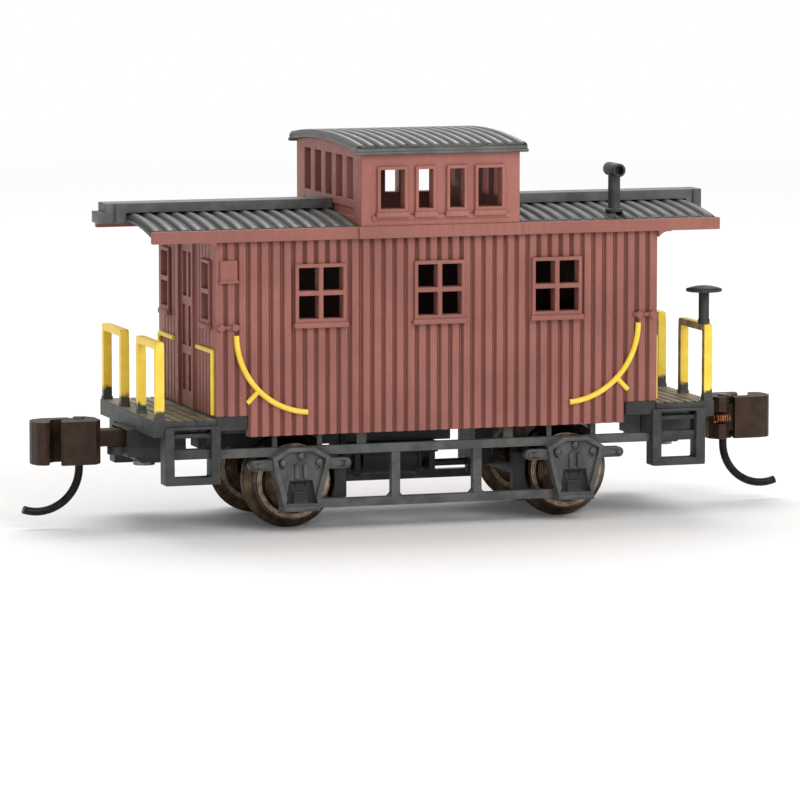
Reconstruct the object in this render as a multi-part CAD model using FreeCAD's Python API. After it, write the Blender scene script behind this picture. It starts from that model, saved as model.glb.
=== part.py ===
"""N scale four-wheel caboose: one STEP file for each separate piece.

Units are millimetres.  +X runs along the car towards the B end, the end with the brake wheel;
the other end is the A end.  +Y is the car's left side and +Z is up.  Heights are worked out from
the rail head and every piece is lifted by the flange depth when it is saved, so that the wheel
flanges stand on z = 0 under the middle of the car.
"""
import FreeCAD, Part
import math
import os

from FreeCAD import Vector

# Wheels and axles
TREAD_RADIUS = 2.75
FLANGE_DEPTH = 0.60
FLANGE_WIDTH = 0.50
WHEEL_BACK_Y = 3.80
WHEEL_WIDTH = 1.55
WHEELBASE = 19.80
AXLE_RADIUS = 0.60
JOURNAL_RADIUS = 0.36
AXLE_POINT_Y = 6.80
RUNNING_CLEARANCE = 0.05

# Car body
BODY_HALF_LENGTH = 15.90
BODY_HALF_WIDTH = 7.16
WALL = 0.80
SKIRT_HALF_LENGTH = 13.60
SKIRT_BOTTOM = 6.10
WALL_BOTTOM = 7.55
WALL_TOP = 19.45
BOARD_PITCH = 0.80
SIDE_GROOVE_DEPTH = 0.20
END_GROOVE_DEPTH = 0.12

# Side and end windows, and the end doors
WINDOW_PITCH = 8.50
WINDOW_HALF_WIDTH = 1.61
WINDOW_BOTTOM = 13.99
WINDOW_TOP = 17.56
END_WINDOW_Y = 5.10
END_WINDOW_HALF_WIDTH = 0.85
END_WINDOW_TOP = 17.90
DOOR_HALF_WIDTH = 1.75
DOOR_TOP = 18.75
DOOR_WINDOW_BOTTOM = 15.10
DOOR_WINDOW_TOP = 18.20
TRIM_PROUD = 0.20

# Roof
FASCIA_HALF_LENGTH = 20.40
FASCIA_HALF_WIDTH = 7.53
FASCIA_THICKNESS = 0.40
FASCIA_TOP = 20.22
ROOF_RISE = 0.80
ROOF_THICKNESS = 0.50
ROOF_RIB_PITCH = 0.95
RIB_HEIGHT = 0.22
BOARD_HALF_WIDTH = 0.95
BOARD_TOP = 21.70
BOARD_A_END_X = 21.90
BOARD_B_END_X = 21.55
BOARD_LUG = 0.46

# Cupola
CUPOLA_HALF_LENGTH = 5.70
CUPOLA_HALF_WIDTH = 7.50
CUPOLA_TOP = 25.10
CUPOLA_ROOF_HALF_LENGTH = 6.15
CUPOLA_ROOF_HALF_WIDTH = 7.85
CUPOLA_EAVE = 0.70
CUPOLA_ROOF_RISE = 0.50
CUPOLA_ROOF_THICKNESS = 0.55
CUPOLA_RIB_PITCH = 0.78
CUPOLA_WINDOW_BOTTOM = 21.35
CUPOLA_WINDOW_TOP = 24.10

# Underframe, platforms and steps
FLOOR_BOTTOM = 6.30
FLOOR_TOP = 7.35
PLATFORM_END_X = 20.20
DECK_TOP = 7.40
DECK_BOTTOM = 6.95
DECK_HALF_WIDTH = 7.15
BEAM_X = 19.35
BEAM_BOTTOM = 6.30
SILL_HALF_WIDTH = 7.10
SILL_BOTTOM = 6.60
CENTRE_SILL_X = (-15.40, 2.90)
BAR_BOTTOM = 4.65
BAR_TOP = 5.25
FRAME_INNER_Y = 6.10
FRAME_FACE_Y = 7.15
STEP_OUTER_X = 19.50
STEP_INNER_X = 15.60
STEP_BOTTOM = 2.98
STEP_FACE_Y = 7.30
STEP_DEPTH = 1.30

# Handrails and hand brake
RAILING_X = 19.48
RAILING_DEPTH = 0.60
RAILING_POST = 0.50
RAILING_OUTER_Y = 6.80
RAILING_INNER_Y = 2.20
RAILING_TOP = 12.75
CURVE_CENTRE_X = 9.10
CURVE_CENTRE_Z = 13.05
CURVE_RADIUS = 5.38
HANDRAIL_RADIUS = 0.19
BRAKE_STAFF_X = 19.60
BRAKE_STAFF_Y = -6.60
BRAKE_WHEEL_Z = 15.00
BRAKE_WHEEL_RADIUS = 1.26

# Couplers
COUPLER_Z = 5.40
SHANK_Z = 5.58
POCKET_END_X = 20.75
HEAD_HALF_HEIGHT = 1.50
SWING_X = 19.00
SHANK_HALF_WIDTH = 0.75
SHANK_HALF_HEIGHT = 0.55
HEAD_BACK_X = 22.30
KNUCKLE_X = 23.50
KNUCKLE_Y = -0.45
KNUCKLE_FRONT_X = 27.00
TRIP_PIN_RADIUS = 0.28
TRIP_BEND_RADIUS = 2.95

X_AXIS = Vector(1, 0, 0)
Y_AXIS = Vector(0, 1, 0)
Z_AXIS = Vector(0, 0, 1)
ORIGIN = Vector(0, 0, 0)


# ---------------------------------------------------------------- helpers

def box(x_range, y_range, z_range):
    """A block between two values along each axis."""
    low = Vector(min(x_range), min(y_range), min(z_range))
    high = Vector(max(x_range), max(y_range), max(z_range))
    size = high - low
    return Part.makeBox(size.x, size.y, size.z, low)


def rod(start, end, radius):
    """A round bar from one point to another."""
    direction = end - start
    return Part.makeCylinder(radius, direction.Length, start, direction)


def prism(points, direction):
    """A closed outline of points, extruded."""
    outline = [Vector(*point) for point in points]
    wire = Part.makePolygon(outline + outline[:1])
    return Part.Face(wire).extrude(direction)


def turned_about_y(profile):
    """A solid of revolution about the Y axis from (radius, y) points."""
    points = [Vector(radius, y, 0) for radius, y in profile]
    wire = Part.makePolygon(points + points[:1])
    return Part.Face(wire).revolve(ORIGIN, Y_AXIS, 360)


def joined(shapes):
    """One shape from several that touch or overlap."""
    first, *rest = shapes
    return first.multiFuse(rest).removeSplitter() if rest else first


def moved(shape, x=0.0, y=0.0, z=0.0):
    """A copy shifted by x, y and z."""
    copy = shape.copy()
    copy.translate(Vector(x, y, z))
    return copy


def other_side(shape):
    """The mirror image on the other side of the car."""
    return shape.mirror(ORIGIN, Y_AXIS)


def other_end(shape):
    """A copy turned half way round, so that it fits the other end."""
    copy = shape.copy()
    copy.rotate(ORIGIN, Z_AXIS, 180)
    return copy


def mirror_end(shape):
    """The mirror image at the other end of the car."""
    return shape.mirror(ORIGIN, X_AXIS)


def save(node, *shapes):
    """Write one node, lifted so that the flanges stand on z = 0."""
    solids = [solid for shape in shapes for solid in shape.Solids]
    shape = solids[0] if len(solids) == 1 else Part.makeCompound(solids)
    moved(shape, z=FLANGE_DEPTH).exportStep(f"parts/{node}.step")


# ---------------------------------------------------------------- car body

def grooves(half_length, z_range, face, depth):
    """V grooves between upright boards on the plane y = face, cut towards the middle."""
    half_width = 0.9 * depth
    count = int(half_length / BOARD_PITCH)
    tools = []
    for index in range(-count, count + 1):
        x = index * BOARD_PITCH
        outline = [(x - half_width, face, z_range[0]), (x + half_width, face, z_range[0]),
                   (x, face - depth, z_range[0])]
        tools.append(prism(outline, Vector(0, 0, z_range[1] - z_range[0])))
    return Part.makeCompound(tools)


def side_wall():
    """The left wall: upright boards, a deeper skirt between the platforms, three windows."""
    inner = BODY_HALF_WIDTH - WALL
    outline = [(-BODY_HALF_LENGTH, inner, WALL_TOP), (BODY_HALF_LENGTH, inner, WALL_TOP),
               (BODY_HALF_LENGTH, inner, WALL_BOTTOM), (SKIRT_HALF_LENGTH, inner, WALL_BOTTOM),
               (SKIRT_HALF_LENGTH, inner, SKIRT_BOTTOM), (-SKIRT_HALF_LENGTH, inner, SKIRT_BOTTOM),
               (-SKIRT_HALF_LENGTH, inner, WALL_BOTTOM), (-BODY_HALF_LENGTH, inner, WALL_BOTTOM)]
    wall = prism(outline, Vector(0, WALL, 0))
    wall = wall.cut(grooves(BODY_HALF_LENGTH, (SKIRT_BOTTOM, WALL_TOP), BODY_HALF_WIDTH,
                            SIDE_GROOVE_DEPTH))
    for place in (-1, 0, 1):
        middle = place * WINDOW_PITCH
        hole = box((middle - WINDOW_HALF_WIDTH, middle + WINDOW_HALF_WIDTH),
                   (inner, BODY_HALF_WIDTH), (WINDOW_BOTTOM, WINDOW_TOP))
        wall = wall.cut(hole)
    return wall


def end_wall():
    """The B end wall up to the arch of the roof, with a doorway and a window each side of it."""
    inner = BODY_HALF_LENGTH - WALL
    side = BODY_HALF_WIDTH - WALL
    wall = box((-side, side), (inner, BODY_HALF_LENGTH), (WALL_BOTTOM, WALL_TOP))
    wall = wall.cut(grooves(side, (WALL_BOTTOM, WALL_TOP), BODY_HALF_LENGTH, END_GROOVE_DEPTH))
    for middle in (-END_WINDOW_Y, END_WINDOW_Y):
        wall = wall.cut(box((middle - END_WINDOW_HALF_WIDTH, middle + END_WINDOW_HALF_WIDTH),
                            (inner, BODY_HALF_LENGTH), (WINDOW_BOTTOM, END_WINDOW_TOP)))
    wall = wall.cut(box((-DOOR_HALF_WIDTH, DOOR_HALF_WIDTH), (inner, BODY_HALF_LENGTH),
                        (WALL_BOTTOM, DOOR_TOP)))
    wall.rotate(ORIGIN, Z_AXIS, -90)
    gable_y = FASCIA_HALF_WIDTH - FASCIA_THICKNESS
    gable = box((inner, BODY_HALF_LENGTH), (-gable_y, gable_y), (WALL_TOP, FASCIA_TOP + ROOF_RISE))
    under_roof = arch_space(FASCIA_HALF_WIDTH, FASCIA_TOP, ROOF_RISE, ROOF_THICKNESS)
    return joined([wall, gable.common(under_roof)])


def cove_bracket():
    """The curved bracket under the roof overhang at the B end's left corner."""
    reach = 0.90
    drop = 0.50
    thickness = 0.12
    near = BODY_HALF_LENGTH
    far = near + reach
    inner_y = BODY_HALF_WIDTH - 0.6
    low, high = (Vector(near, inner_y, WALL_TOP - drop), Vector(far, inner_y, WALL_TOP - thickness))
    middle = Vector(near + 0.35 * reach, inner_y, WALL_TOP - 0.42 * drop)
    top = [high, Vector(far, inner_y, WALL_TOP), Vector(near, inner_y, WALL_TOP), low]
    edges = [Part.Arc(low, middle, high).toShape()]
    edges += [Part.makeLine(a, b) for a, b in zip(top, top[1:])]
    return Part.Face(Part.Wire(edges)).extrude(Vector(0, FASCIA_HALF_WIDTH - inner_y, 0))


def body_shell():
    """Four walls, the ceiling, the fascias that carry the roof and the corner brackets."""
    inner_x = BODY_HALF_LENGTH - WALL
    ceiling_bottom = WALL_TOP - 0.30
    hatch_x = CUPOLA_HALF_LENGTH - WALL
    hatch_y = CUPOLA_HALF_WIDTH - 2 * WALL
    ceiling = box((-inner_x, inner_x), (-BODY_HALF_WIDTH + WALL, BODY_HALF_WIDTH - WALL),
                  (ceiling_bottom, WALL_TOP))
    ceiling = ceiling.cut(box((-hatch_x, hatch_x), (-hatch_y, hatch_y), (ceiling_bottom, WALL_TOP)))
    inner_y = FASCIA_HALF_WIDTH - FASCIA_THICKNESS
    fascia = box((-FASCIA_HALF_LENGTH, FASCIA_HALF_LENGTH), (inner_y, FASCIA_HALF_WIDTH),
                 (WALL_TOP - 0.05, FASCIA_TOP))
    wall_plates = [box((side * CUPOLA_HALF_LENGTH, side * BODY_HALF_LENGTH),
                       (BODY_HALF_WIDTH - WALL, inner_y), (WALL_TOP, WALL_TOP + 0.25))
                   for side in (-1, 1)]
    letterboard = box((-CUPOLA_HALF_LENGTH - 0.15, CUPOLA_HALF_LENGTH + 0.15),
                      (FASCIA_HALF_WIDTH, FASCIA_HALF_WIDTH + 0.12), (WALL_TOP - 0.05, FASCIA_TOP + 0.03))
    end = end_wall()
    bracket = cove_bracket()
    pieces = [side_wall(), other_side(side_wall()), end, mirror_end(end), ceiling]
    for rail in (fascia, letterboard, *wall_plates):
        pieces += [rail, other_side(rail)]
    for corner in (bracket, other_side(bracket)):
        pieces += [corner, mirror_end(corner)]
    return joined(pieces)


def pane_frame(half_width, bottom, top, columns, rows, bar, trim):
    """A window frame in the plane x-z: trim proud of y = 0, glazing bars behind it."""
    outer = box((-half_width - trim, half_width + trim), (0, TRIM_PROUD), (bottom - trim, top + trim))
    plug = box((-half_width, half_width), (0.02 - WALL, 0), (bottom, top))
    sill = box((-half_width - trim - 0.1, half_width + trim + 0.1), (0, TRIM_PROUD + 0.15),
               (bottom - trim - 0.35, bottom - trim))
    frame = joined([outer, plug, sill])
    edge = 0.04
    pane_width = (2 * half_width - 2 * edge - (columns - 1) * bar) / columns
    pane_height = (top - bottom - 2 * edge - (rows - 1) * bar) / rows
    for column in range(columns):
        left = -half_width + edge + column * (pane_width + bar)
        for row in range(rows):
            low = bottom + edge + row * (pane_height + bar)
            frame = frame.cut(box((left, left + pane_width), (-1, 1), (low, low + pane_height)))
    return frame


def side_window_frames():
    """Three four-pane frames on the left wall."""
    frame = pane_frame(WINDOW_HALF_WIDTH, WINDOW_BOTTOM, WINDOW_TOP, 2, 2, 0.32, 0.22)
    return [moved(frame, x=place * WINDOW_PITCH, y=BODY_HALF_WIDTH) for place in (-1, 0, 1)]


def end_window_frames():
    """Two tall frames on the B end wall."""
    frame = pane_frame(END_WINDOW_HALF_WIDTH, WINDOW_BOTTOM, END_WINDOW_TOP, 1, 2, 0.35, 0.22)
    frames = [moved(frame, x=middle, y=BODY_HALF_LENGTH) for middle in (-END_WINDOW_Y, END_WINDOW_Y)]
    for piece in frames:
        piece.rotate(ORIGIN, Z_AXIS, -90)
    return frames


def end_door():
    """The B end door: a panelled leaf with two lights, set back in its own casing."""
    casing = 0.30
    casing_thickness = 0.18
    rebate = 0.05
    leaf = box((-DOOR_HALF_WIDTH, DOOR_HALF_WIDTH), (-0.60, 0), (WALL_BOTTOM, DOOR_TOP))
    surround = box((-DOOR_HALF_WIDTH - casing, DOOR_HALF_WIDTH + casing), (0, casing_thickness),
                   (WALL_BOTTOM, DOOR_TOP + casing))
    door = leaf.fuse(surround)
    door = door.cut(box((-DOOR_HALF_WIDTH + 0.1, DOOR_HALF_WIDTH - 0.1), (-rebate, 1), (0, DOOR_TOP - 0.1)))
    for side in (-1, 1):
        light = sorted((side * 0.25, side * 1.15))
        door = door.cut(box(light, (-1, 1), (DOOR_WINDOW_BOTTOM, DOOR_WINDOW_TOP)))
        panel = sorted((side * 0.20, side * 1.30))
        door = door.cut(box(panel, (-0.20, 1), (8.60, 11.10)))
        door = door.cut(box(panel, (-0.20, 1), (11.70, 14.50)))
    knob = rod(Vector(-1.47, -0.10, 11.40), Vector(-1.47, 0.16, 11.40), 0.14)
    door = moved(door.fuse(knob), y=BODY_HALF_LENGTH)
    door.rotate(ORIGIN, Z_AXIS, -90)
    return door


# ---------------------------------------------------------------- roof and cupola

def ribbed_arch(x_range, half_width, edge_top, rise, thickness, pitch):
    """An arched slab whose top is a row of rounded ribs running across the car."""
    arch_radius = (half_width ** 2 + rise ** 2) / (2 * rise)
    axis_z = edge_top + rise - arch_radius
    start, end = x_range
    count = round((end - start) / pitch)
    step = (end - start) / count
    valley = edge_top + rise - RIB_HEIGHT
    edges = []
    for index in range(count):
        left = Vector(start + index * step, 0, valley)
        crown = Vector(left.x + 0.5 * step, 0, valley + RIB_HEIGHT)
        right = Vector(left.x + step, 0, valley)
        edges.append(Part.Arc(left, crown, right).toShape())
    base = edge_top + rise - thickness
    corners = [Vector(end, 0, valley), Vector(end, 0, base), Vector(start, 0, base),
               Vector(start, 0, valley)]
    edges += [Part.makeLine(a, b) for a, b in zip(corners, corners[1:])]
    profile = Part.Face(Part.Wire(edges))
    swing = math.degrees(math.asin(half_width / arch_radius))
    axis_point = Vector(0, 0, axis_z)
    profile.rotate(axis_point, X_AXIS, -swing)
    return profile.revolve(axis_point, X_AXIS, 2 * swing)


def arch_space(half_width, edge_top, rise, thickness):
    """The solid under an arched roof of that thickness, all along the car."""
    arch_radius = (half_width ** 2 + rise ** 2) / (2 * rise)
    axis_z = edge_top + rise - arch_radius
    return rod(Vector(-25, 0, axis_z), Vector(25, 0, axis_z), arch_radius - thickness)


def roof_half():
    """The B end roof panel, sprung between the fascias from the cupola to the end of the porch."""
    inner_y = FASCIA_HALF_WIDTH - FASCIA_THICKNESS
    slab = ribbed_arch((CUPOLA_HALF_LENGTH, FASCIA_HALF_LENGTH), FASCIA_HALF_WIDTH, FASCIA_TOP,
                       ROOF_RISE, ROOF_THICKNESS, ROOF_RIB_PITCH)
    return slab.common(box((0, 30), (-inner_y, inner_y), (WALL_TOP, 30)))


def running_board(end_x, lug_length=0.0):
    """A roof walk of three planks ending in a deep block past the roof, with or without a lug."""
    seat = FASCIA_TOP + ROOF_RISE
    width = (-BOARD_HALF_WIDTH, BOARD_HALF_WIDTH)
    pieces = [box((CUPOLA_HALF_LENGTH, end_x), width, (seat, BOARD_TOP)),
              box((FASCIA_HALF_LENGTH, end_x), width, (seat - 0.70, BOARD_TOP))]
    if lug_length:
        pieces.append(box((end_x, end_x + lug_length), width, (seat - 0.70, seat + 0.08)))
    walk = joined(pieces)
    plank = 2 * BOARD_HALF_WIDTH / 3
    for y in (-plank / 2, plank / 2):
        walk = walk.cut(box((0, 30), (y - 0.05, y + 0.05), (BOARD_TOP - 0.12, BOARD_TOP)))
    for side in (-1, 1):
        notch_y = side * BOARD_HALF_WIDTH
        walk = walk.cut(box((end_x - 0.75, end_x - 0.60), (notch_y - 0.10, notch_y + 0.10),
                            (seat - 1, BOARD_TOP)))
    return walk


def smoke_jack():
    """The stove pipe with its cross-pipe cap."""
    x = 13.35
    y = -5.40
    foot_z = FASCIA_TOP + ROOF_RISE - ROOF_RISE * (y / FASCIA_HALF_WIDTH) ** 2
    cap_z = 23.55
    pipe = rod(Vector(x, y, foot_z), Vector(x, y, cap_z), 0.42)
    collar = rod(Vector(x, y, foot_z), Vector(x, y, foot_z + 0.25), 0.62)
    cap = rod(Vector(x, y - 1.05, cap_z), Vector(x, y + 1.05, cap_z), 0.47)
    bores = [rod(Vector(x, y - 1.05, cap_z), Vector(x, y - 0.55, cap_z), 0.30),
             rod(Vector(x, y + 0.55, cap_z), Vector(x, y + 1.05, cap_z), 0.30)]
    return joined([pipe, collar, cap]).cut(Part.makeCompound(bores))


CUPOLA_WINDOWS = [(-3.50, 0.90), (-1.12, 0.56), (1.12, 0.56), (3.50, 0.90)]


def cupola_shell():
    """The lookout: four windows each side and a row of five narrow lights at each end."""
    base = WALL_TOP
    outer = box((-CUPOLA_HALF_LENGTH, CUPOLA_HALF_LENGTH), (-CUPOLA_HALF_WIDTH, CUPOLA_HALF_WIDTH),
                (base, CUPOLA_TOP))
    inner_x = CUPOLA_HALF_LENGTH - WALL
    inner_y = CUPOLA_HALF_WIDTH - WALL
    shell = outer.cut(box((-inner_x, inner_x), (-inner_y, inner_y), (base, CUPOLA_TOP)))
    fascia_inner = FASCIA_HALF_WIDTH - FASCIA_THICKNESS
    for side in (-1, 1):
        edges = sorted((side * fascia_inner, side * (FASCIA_HALF_WIDTH + 1)))
        shell = shell.cut(box((-9, 9), edges, (base, FASCIA_TOP)))
    arch = arch_space(CUPOLA_ROOF_HALF_WIDTH, CUPOLA_TOP + CUPOLA_EAVE, CUPOLA_ROOF_RISE,
                      CUPOLA_ROOF_THICKNESS)
    shell = shell.fuse([box((side * inner_x, side * CUPOLA_HALF_LENGTH),
                            (-CUPOLA_HALF_WIDTH, CUPOLA_HALF_WIDTH),
                            (CUPOLA_TOP, CUPOLA_TOP + 2)).common(arch) for side in (-1, 1)])
    for middle, half_width in CUPOLA_WINDOWS:
        shell = shell.cut(box((middle - half_width, middle + half_width), (-9, 9),
                              (CUPOLA_WINDOW_BOTTOM, CUPOLA_WINDOW_TOP)))
    slot_pitch = 2.45
    slot_half_width = 0.72
    for index in range(-2, 3):
        middle = index * slot_pitch
        shell = shell.cut(box((-9, 9), (middle - slot_half_width, middle + slot_half_width),
                              (CUPOLA_WINDOW_BOTTOM + 0.55, CUPOLA_WINDOW_TOP + 0.70)))
    for side in (-1, 1):
        outside = sorted((side * (CUPOLA_HALF_LENGTH - 0.15), side * 9))
        shell = shell.cut(box(outside, (-5.9, 5.9), (FASCIA_TOP + 0.55, CUPOLA_WINDOW_BOTTOM)))
    return shell.removeSplitter()


def cupola_window_frames():
    """Four raised frames on the left face of the cupola, on one sill."""
    frames = []
    for middle, half_width in CUPOLA_WINDOWS:
        frame = pane_frame(half_width, CUPOLA_WINDOW_BOTTOM, CUPOLA_WINDOW_TOP, 1, 1, 0.12, 0.18)
        frames.append(moved(frame, x=middle, y=CUPOLA_HALF_WIDTH))
    rail = box((-4.95, 4.95), (CUPOLA_HALF_WIDTH, CUPOLA_HALF_WIDTH + 0.14),
               (CUPOLA_WINDOW_BOTTOM - 0.70, CUPOLA_WINDOW_BOTTOM - 0.40))
    return joined(frames + [rail])


def cupola_roof():
    """The arched, ribbed lookout roof with a deep eave down each side."""
    half = CUPOLA_ROOF_HALF_LENGTH
    eave_top = CUPOLA_TOP + CUPOLA_EAVE
    slab = ribbed_arch((-half, half), CUPOLA_ROOF_HALF_WIDTH, eave_top, CUPOLA_ROOF_RISE,
                       CUPOLA_ROOF_THICKNESS, CUPOLA_RIB_PITCH)
    lip = 0.33
    outer = CUPOLA_ROOF_HALF_WIDTH
    eave = box((-half, half), (outer - lip, outer), (CUPOLA_TOP, eave_top - RIB_HEIGHT))
    bead = box((-half - 0.05, half + 0.05), (outer, outer + 0.08), (CUPOLA_TOP, CUPOLA_TOP + 0.22))
    return joined([slab, eave, other_side(eave), bead, other_side(bead)])


# ---------------------------------------------------------------- underframe

def centre_sill():
    """The deep sill along the middle of the floor, from the A end as far as the brake gear."""
    return box(CENTRE_SILL_X, (-1.0, 1.0), (BAR_BOTTOM, FLOOR_BOTTOM))


def underframe():
    """Floor, end sills, centre sill and the two pockets that hold the couplers."""
    floor_half_width = BODY_HALF_WIDTH - WALL - 0.05
    pocket_top = SHANK_Z + SHANK_HALF_HEIGHT + RUNNING_CLEARANCE
    pocket_bottom = SHANK_Z - SHANK_HALF_HEIGHT - RUNNING_CLEARANCE
    tongue_bottom = FLOOR_BOTTOM + 0.05
    pieces = [box((-BODY_HALF_LENGTH + WALL + 0.05, BODY_HALF_LENGTH - WALL - 0.05),
                  (-floor_half_width, floor_half_width), (FLOOR_BOTTOM, FLOOR_TOP)),
              centre_sill()]
    for side in (-1, 1):
        sill_x = (side * (SKIRT_HALF_LENGTH + 0.05), side * BODY_HALF_LENGTH)
        pieces.append(box(sill_x, (-SILL_HALF_WIDTH, SILL_HALF_WIDTH), (SILL_BOTTOM, WALL_BOTTOM)))
        pieces.append(box((side * 16.6, side * POCKET_END_X), (-2.2, 2.2), (pocket_bottom, DECK_BOTTOM)))
        pieces.append(box((side * 15.0, side * 16.6), (-2.2, 2.2), (tongue_bottom, DECK_BOTTOM)))
    frame = joined(pieces)
    for side in (-1, 1):
        frame = frame.cut(box((side * 16.95, side * 21.3), (-1.8, 1.8), (pocket_bottom, pocket_top)))
        post = rod(Vector(side * SWING_X, 0, pocket_bottom), Vector(side * SWING_X, 0, pocket_top), 0.50)
        frame = frame.fuse(post)
        frame = frame.cut(rod(Vector(side * SWING_X, 0, pocket_bottom),
                              Vector(side * SWING_X, 0, pocket_top + 0.3), 0.28))
        frame = frame.cut(box((side * PLATFORM_END_X, side * 22), (-3, 3), (BEAM_BOTTOM, DECK_BOTTOM)))
    return frame


def coupler_lid():
    """The plate under the B end coupler pocket, with its rounded nose."""
    top = SHANK_Z - SHANK_HALF_HEIGHT - RUNNING_CLEARANCE
    bottom = top - 0.60
    plate = box((16.6, POCKET_END_X), (-2.2, 2.2), (bottom, top))
    nose = rod(Vector(20.85, 0, bottom), Vector(20.85, 0, top), 0.75)
    keel = prism([(16.9, -1.6, bottom), (20.3, -1.6, bottom), (19.6, -1.6, bottom - 0.50),
                  (17.5, -1.6, bottom - 0.50)], Vector(0, 3.2, 0))
    lid = joined([plate, nose, keel])
    return lid.cut(rod(Vector(SWING_X, 0, 0), Vector(SWING_X, 0, 9), 0.34))


def coupler_screw():
    """The slotted screw that holds the B end lid to its post."""
    head_top = SHANK_Z - SHANK_HALF_HEIGHT - RUNNING_CLEARANCE - 1.10
    thread_top = SHANK_Z + SHANK_HALF_HEIGHT + 0.30
    head = rod(Vector(SWING_X, 0, head_top - 0.28), Vector(SWING_X, 0, head_top), 0.75)
    thread = rod(Vector(SWING_X, 0, head_top), Vector(SWING_X, 0, thread_top), 0.28)
    slot = box((SWING_X - 1, SWING_X + 1), (-0.09, 0.09), (head_top - 0.28, head_top - 0.13))
    return joined([head, thread]).cut(slot)


def platform():
    """The B end platform: planked deck, end beam and the sockets of the railing posts."""
    inner_x = BODY_HALF_LENGTH
    width = DECK_HALF_WIDTH
    deck = box((inner_x, PLATFORM_END_X), (-width, width), (DECK_BOTTOM, DECK_TOP))
    beam = box((BEAM_X, PLATFORM_END_X), (-width, width), (BEAM_BOTTOM, DECK_BOTTOM))
    beam = beam.cut(box((0, 21), (-2.2, 2.2), (6.0, DECK_BOTTOM)))
    pieces = [deck, beam]
    for y in railing_post_places():
        pieces.append(box((RAILING_X - 0.05, RAILING_X + RAILING_DEPTH + 0.05),
                          (y - 0.31, y + 0.31), (DECK_TOP, DECK_TOP + 0.22)))
    shape = joined(pieces)
    for y in railing_post_places():
        shape = shape.cut(railing_post(y, DECK_TOP + 0.05, DECK_TOP + 1))
    for index in range(1, 5):
        x = inner_x + index * 0.72
        shape = shape.cut(box((x - 0.05, x + 0.05), (-width, width), (DECK_TOP - 0.10, DECK_TOP)))
    return shape


def step():
    """The B end left stirrup step: two posts, a tread, a middle bar and a top strap."""
    y_range = (STEP_FACE_Y - STEP_DEPTH, STEP_FACE_Y)
    post = 0.66
    whole = box((STEP_INNER_X, STEP_OUTER_X), y_range, (STEP_BOTTOM, DECK_BOTTOM))
    inner = STEP_INNER_X + post
    outer = STEP_OUTER_X - post
    whole = whole.cut(box((inner, outer), (0, 9), (STEP_BOTTOM + 0.48, BAR_BOTTOM + 0.05)))
    whole = whole.cut(box((inner, outer), (0, 9), (BAR_TOP + 0.10, 6.15)))
    whole = whole.cut(box((inner, outer), (0, 9), (6.45, DECK_BOTTOM - 0.2)))
    recess = box((inner, outer), (STEP_FACE_Y - 0.35, 9), (BAR_BOTTOM, 6.5))
    beam = box((BEAM_X, PLATFORM_END_X), (0, DECK_HALF_WIDTH), (BEAM_BOTTOM, DECK_BOTTOM))
    sill = box((0, BODY_HALF_LENGTH), (0, SILL_HALF_WIDTH), (SILL_BOTTOM, WALL_BOTTOM))
    return whole.cut([recess, beam, sill])


def spring_pedestal(x):
    """One axlebox guard on the left side frame: shield, springs, axlebox and bolted ears."""
    outline = [(-0.90, 5.25), (0.90, 5.25), (2.05, 4.60), (1.95, 3.90), (1.20, 1.00),
               (-1.20, 1.00), (-1.95, 3.90), (-2.05, 4.60)]
    shield = prism([(x + u, FRAME_INNER_Y, z) for u, z in outline],
                   Vector(0, FRAME_FACE_Y + 0.25 - FRAME_INNER_Y, 0))
    panel = [(-0.75, 4.98), (0.75, 4.98), (1.72, 4.45), (1.62, 3.95), (0.98, 1.62),
             (-0.98, 1.62), (-1.62, 3.95), (-1.72, 4.45)]
    shield = shield.cut(prism([(x + u, FRAME_FACE_Y, z) for u, z in panel], Vector(0, 1, 0)))
    mouth = [(-0.82, 3.00), (0.82, 3.00), (1.12, 1.40), (-1.12, 1.40)]
    shield = shield.cut(prism([(x + u, FRAME_FACE_Y - 0.28, z) for u, z in mouth], Vector(0, 1, 0)))
    lid = box((x - 0.50, x + 0.50), (FRAME_FACE_Y - 0.35, FRAME_FACE_Y - 0.08), (1.40, 2.15))
    lip = box((x - 1.30, x + 1.30), (FRAME_INNER_Y, FRAME_FACE_Y + 0.42), (0.90, 1.22))
    coils = [rod(Vector(x + u, FRAME_FACE_Y + 0.02, 3.12), Vector(x + u, FRAME_FACE_Y + 0.02, 4.15), 0.20)
             for u in (-0.30, 0.30)]
    bolts = [rod(Vector(x + u, FRAME_FACE_Y - 0.1, z), Vector(x + u, FRAME_FACE_Y + 0.24, z), 0.25)
             for u, z in ((0, 4.68), (-1.28, 4.22), (1.28, 4.22))]
    ears = []
    for side in (-1, 1):
        ear_x = sorted((x + side * 1.8, x + side * 3.25))
        ears.append(box(ear_x, (6.35, FRAME_FACE_Y), (3.72, 4.42)))
        tip = x + side * 3.25
        ears.append(rod(Vector(tip, 6.35, 4.07), Vector(tip, FRAME_FACE_Y, 4.07), 0.35))
        ears.append(rod(Vector(tip, 6.35, 4.07), Vector(tip, FRAME_FACE_Y + 0.20, 4.07), 0.20))
    struts = [box((x + u - 0.17, x + u + 0.17), (FRAME_INNER_Y, 6.30), (5.0, FLOOR_BOTTOM))
              for u in (-1.6, 1.6)]
    return joined([shield, lid, lip] + struts + coils + bolts + ears)


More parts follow.
